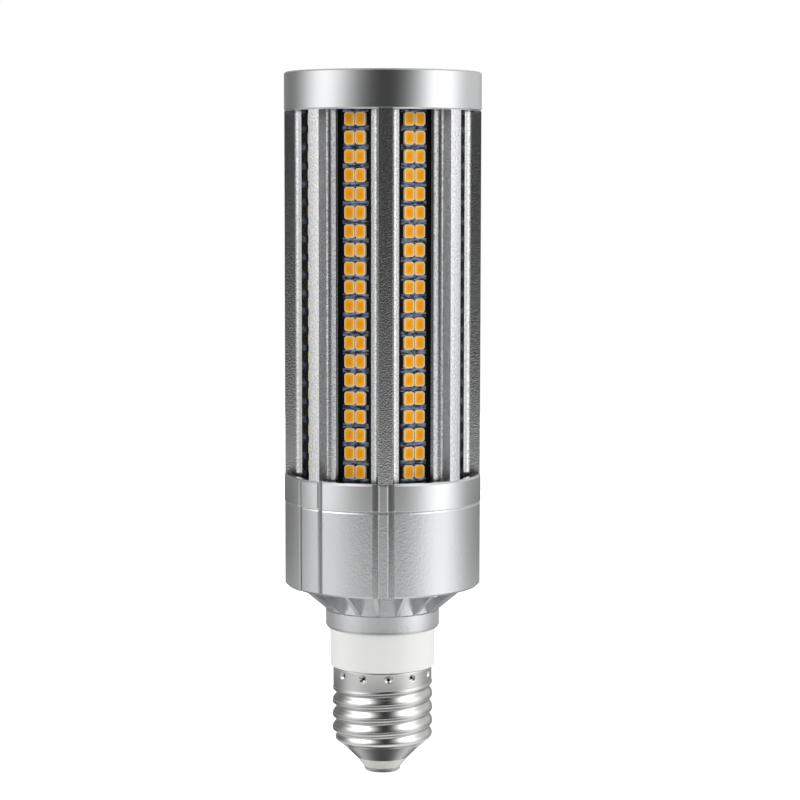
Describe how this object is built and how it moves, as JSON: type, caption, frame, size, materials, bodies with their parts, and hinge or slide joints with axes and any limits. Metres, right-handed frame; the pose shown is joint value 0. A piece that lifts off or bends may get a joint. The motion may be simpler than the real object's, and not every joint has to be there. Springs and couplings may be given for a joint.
{
  "type": "corn led bulb",
  "caption": "Screw-base corn LED bulb: ribbed aluminium column with lengthwise LED strips, turned cap, gusseted cast housing and white neck.",
  "frame": {"origin": "centre of the flat face of the base's centre contact, the bulb's lowest point as it stands in the picture", "axes": "+Z along the bulb from the contact to the top cap; -Y is the side that faces the viewer of the picture"},
  "size_m": [0.0516, 0.0516, 0.1839],
  "materials": {
    "anodised_column": "extruded, natural matt with fine die lines",
    "turned_cap": "turned and satin polished",
    "cast_silver": "die-cast, fine blasted and lacquered silver, top band turned bright",
    "screw_steel": "zinc-plated",
    "white_moulding": "satin white heat-resisting plastic",
    "nickel_shell": "bright nickel-plated rolled sheet",
    "insulator": "white glazed insulator",
    "contact_metal": "nickel-plated brass",
    "driver_laminate": "glass-fibre laminate, green solder mask",
    "ferrite": "grey-black ferrite",
    "winding_tape": "yellow polyester tape",
    "capacitor_sleeve": "black shrink sleeve",
    "film_case": "red-brown dipped case",
    "black_case": "black moulded case",
    "fuse_body": "brown moulded case",
    "red_wire": "silicone-insulated wire",
    "black_wire": "silicone-insulated wire",
    "white_wire": "silicone-insulated wire",
    "strip_board": "aluminium-backed board, black solder mask",
    "led_package": "white package with an orange-yellow phosphor window"
  },
  "bodies": {
    "root": {"heat_sink": "anodised_column", "top_cap": "turned_cap", "cap_screws": "screw_steel", "lower_housing": "cast_silver", "housing_screws": "screw_steel", "inner_cup": "white_moulding", "screw_shell": "nickel_shell", "base_insulator": "insulator", "centre_contact": "contact_metal", "driver_board": "driver_laminate", "transformer_core": "ferrite", "transformer_winding": "winding_tape", "input_capacitor": "capacitor_sleeve", "output_capacitor": "capacitor_sleeve", "film_capacitor": "film_case", "filter_choke": "black_case", "bridge_rectifier": "black_case", "driver_chip": "black_case", "fuse": "fuse_body", "live_lead": "red_wire", "neutral_lead": "black_wire", "positive_lead": "red_wire", "negative_lead": "black_wire", "top_jumpers": "white_wire", "bottom_jumpers": "white_wire", "led_board_1": "strip_board", "leds_1": "led_package", "led_board_2": "strip_board", "leds_2": "led_package", "led_board_3": "strip_board", "leds_3": "led_package", "led_board_4": "strip_board", "leds_4": "led_package", "led_board_5": "strip_board", "leds_5": "led_package", "led_board_6": "strip_board", "leds_6": "led_package", "led_board_7": "strip_board", "leds_7": "led_package", "led_board_8": "strip_board", "leds_8": "led_package"}
  },
  "joints": []
}
